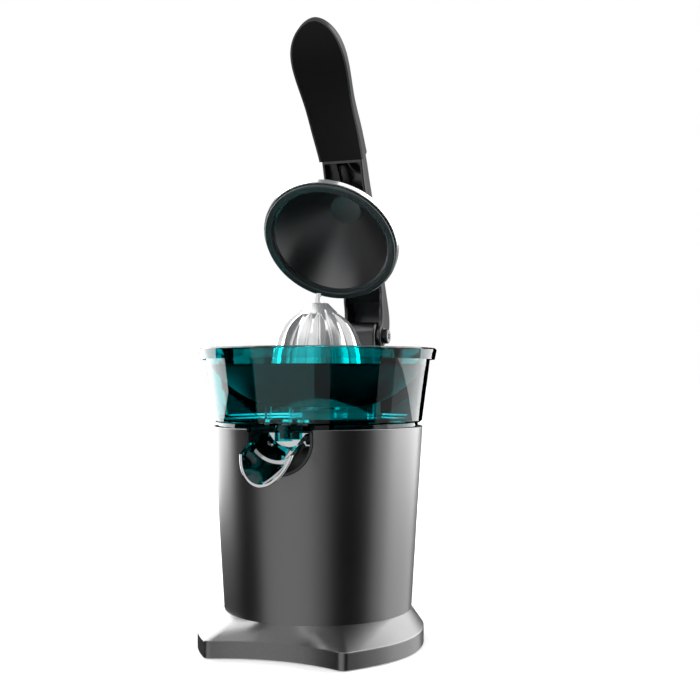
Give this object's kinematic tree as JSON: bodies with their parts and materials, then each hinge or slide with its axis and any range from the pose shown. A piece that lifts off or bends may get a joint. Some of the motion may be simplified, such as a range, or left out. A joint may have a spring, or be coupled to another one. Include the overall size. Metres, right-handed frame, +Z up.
{
  "type": "lever citrus juicer",
  "caption": "Motor-driven citrus juicer with a hinged press lever and cup over a fluted reamer, a clear juice tank, and a spout that tilts up to stop the drip.",
  "frame": {"origin": "on the reamer's axis, in the plane that the four rubber feet stand on", "axes": "+Z up along the reamer's axis; -Y is the front, where the spout is; +X is to the right of someone who faces the front's opposite way, along +Y"},
  "size_m": [0.19, 0.2489, 0.4967],
  "materials": {
    "shell_steel": "satin",
    "base_paint": "satin",
    "lever_paint": "satin",
    "black_plastic": "satin",
    "pad_black": "semi-gloss",
    "dark_teal_plastic": "gloss",
    "teal_clear": "clear gloss",
    "strainer_dark": "gloss",
    "cone_steel": "polished satin",
    "liner_steel": "satin",
    "spout_chrome": "mirror",
    "bright_steel": "ground",
    "dark_steel": "satin",
    "screw_steel": "zinc plated",
    "zinc_plate": "zinc plated",
    "bush_bronze": "sintered",
    "magnet_ferrite": "matt",
    "coil_copper": "enamelled",
    "gear_nylon": "matt",
    "foot_rubber": "matt"
  },
  "bodies": {
    "housing": {"base_housing": "base_paint", "base_plate": "black_plastic", "plate_screws": "screw_steel", "rubber_feet": "foot_rubber", "cord_gland": "foot_rubber", "body_shell": "shell_steel", "top_deck": "black_plastic", "leg_screws": "screw_steel", "spout_pocket": "dark_teal_plastic", "hinge_tower": "lever_paint", "tower_doubler": "zinc_plate", "tower_screws": "screw_steel", "hinge_bushes": "black_plastic", "gear_case": "black_plastic", "gear_plate": "zinc_plate", "case_screws": "screw_steel", "gear_axle": "bright_steel", "motor_plate": "zinc_plate", "motor_can": "zinc_plate", "motor_magnets": "magnet_ferrite", "motor_cap": "black_plastic", "motor_bushes": "bush_bronze", "spindle_bushes": "bush_bronze", "shaft_seal": "foot_rubber", "microswitch": "black_plastic", "press_spring": "bright_steel"},
    "rotor": {"motor_shaft": "bright_steel", "rotor_core": "zinc_plate", "rotor_coils": "coil_copper", "motor_pinion": "bush_bronze"},
    "idler": {"idler_gear": "gear_nylon"},
    "press": {"press_slider": "gear_nylon"},
    "button": {"switch_button": "gear_nylon"},
    "spindle": {"drive_spindle": "bright_steel", "output_gear": "gear_nylon", "spindle_clip": "bright_steel"},
    "cone": {"reamer_cone": "cone_steel", "cone_hub": "black_plastic"},
    "tank": {"juice_tank": "teal_clear", "tank_peg": "black_plastic"},
    "strainer": {"strainer_bowl": "strainer_dark"},
    "spout": {"spout_trough": "spout_chrome", "spout_pins": "spout_chrome"},
    "lever": {"lever_arm": "lever_paint", "arm_core": "black_plastic", "lever_cover": "black_plastic", "grip_body": "lever_paint", "grip_pad": "pad_black", "grip_screws": "screw_steel", "hinge_pin": "bright_steel", "hinge_washers": "black_plastic", "hinge_screws": "dark_steel", "cup_lip_ring": "dark_teal_plastic", "cup_liner": "liner_steel", "cup_shell": "cone_steel", "cup_mount": "black_plastic", "cup_screw": "screw_steel"}
  },
  "joints": [
    {"name": "lever_hinge", "type": "hinge", "parent": "housing", "child": "lever", "pos_m": [0, 0.1136, 0.2447], "axis": [-1, 0, 0], "range_deg": [-49.5, 40.5]},
    {"name": "spout_tilt", "type": "hinge", "parent": "housing", "child": "spout", "pos_m": [0, -0.068, 0.158], "axis": [-1, 0, 0], "range_deg": [0, 25]},
    {"name": "tank_lift", "type": "slide", "parent": "housing", "child": "tank", "axis": [0, 0, 1], "range_m": [0, 0.018]},
    {"name": "strainer_lift", "type": "slide", "parent": "tank", "child": "strainer", "axis": [0, 0, 1], "range_m": [0, 0.018]},
    {"name": "press_slide", "type": "slide", "parent": "housing", "child": "press", "axis": [0, 0, 1], "range_m": [-0.0025, 0], "stiffness_N_per_m": 1600, "springref_m": 0.006, "deforming": ["press_spring"]},
    {"name": "button_slide", "type": "slide", "parent": "housing", "child": "button", "axis": [0, 0, 1], "range_m": [-0.0025, 0]},
    {"name": "spindle_spin", "type": "hinge", "parent": "press", "child": "spindle", "pos_m": [0, 0, 0.15], "axis": [0, 0, 1], "continuous": true},
    {"name": "cone_lift", "type": "slide", "parent": "spindle", "child": "cone", "axis": [0, 0, 1], "range_m": [0, 0.054]},
    {"name": "idler_spin", "type": "hinge", "parent": "housing", "child": "idler", "pos_m": [0, 0.03, 0.13], "axis": [0, 0, 1], "continuous": true},
    {"name": "rotor_spin", "type": "hinge", "parent": "housing", "child": "rotor", "pos_m": [0, 0, 0.092], "axis": [0, 0, 1], "continuous": true}
  ],
  "couplings": [
    {"joint": "strainer_lift", "follows": "tank_lift", "ratio": 1},
    {"joint": "cone_lift", "follows": "tank_lift", "ratio": 3},
    {"joint": "button_slide", "follows": "press_slide", "ratio": 1},
    {"joint": "idler_spin", "follows": "spindle_spin", "ratio": -3},
    {"joint": "rotor_spin", "follows": "spindle_spin", "ratio": 12}
  ]
}
